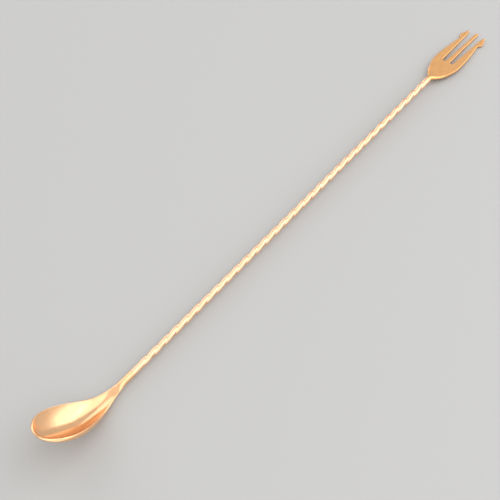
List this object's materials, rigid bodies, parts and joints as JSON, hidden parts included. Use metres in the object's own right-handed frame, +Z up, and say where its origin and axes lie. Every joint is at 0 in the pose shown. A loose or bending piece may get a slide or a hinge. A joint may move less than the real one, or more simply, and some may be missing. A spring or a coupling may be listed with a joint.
{
  "type": "bar spoon",
  "caption": "Long mixing spoon with a tilted teardrop bowl, a left-hand twisted stem and a flat fork with barbed outer tines at the other end.",
  "frame": {"origin": "middle of the overall length and width, on the table that the spoon lies on", "axes": "+X along the stem from the bowl towards the fork, level, +Y across, +Z up out of the bowl's open side; the stem's axis rises by 0.23 degrees along +X"},
  "size_m": [0.4001, 0.0242, 0.0307],
  "materials": {
    "plated_bowl": "polished copper plating on stainless steel",
    "plated_stem": "satin-polished copper plating on stainless steel",
    "plated_fork": "satin copper plating on stainless steel",
    "plated_weld": "ground-flush weld under copper plating"
  },
  "bodies": {
    "root": {"bowl": "plated_bowl", "bowl_weld": "plated_weld", "stem": "plated_stem", "fork_weld": "plated_weld", "fork": "plated_fork"}
  },
  "joints": []
}
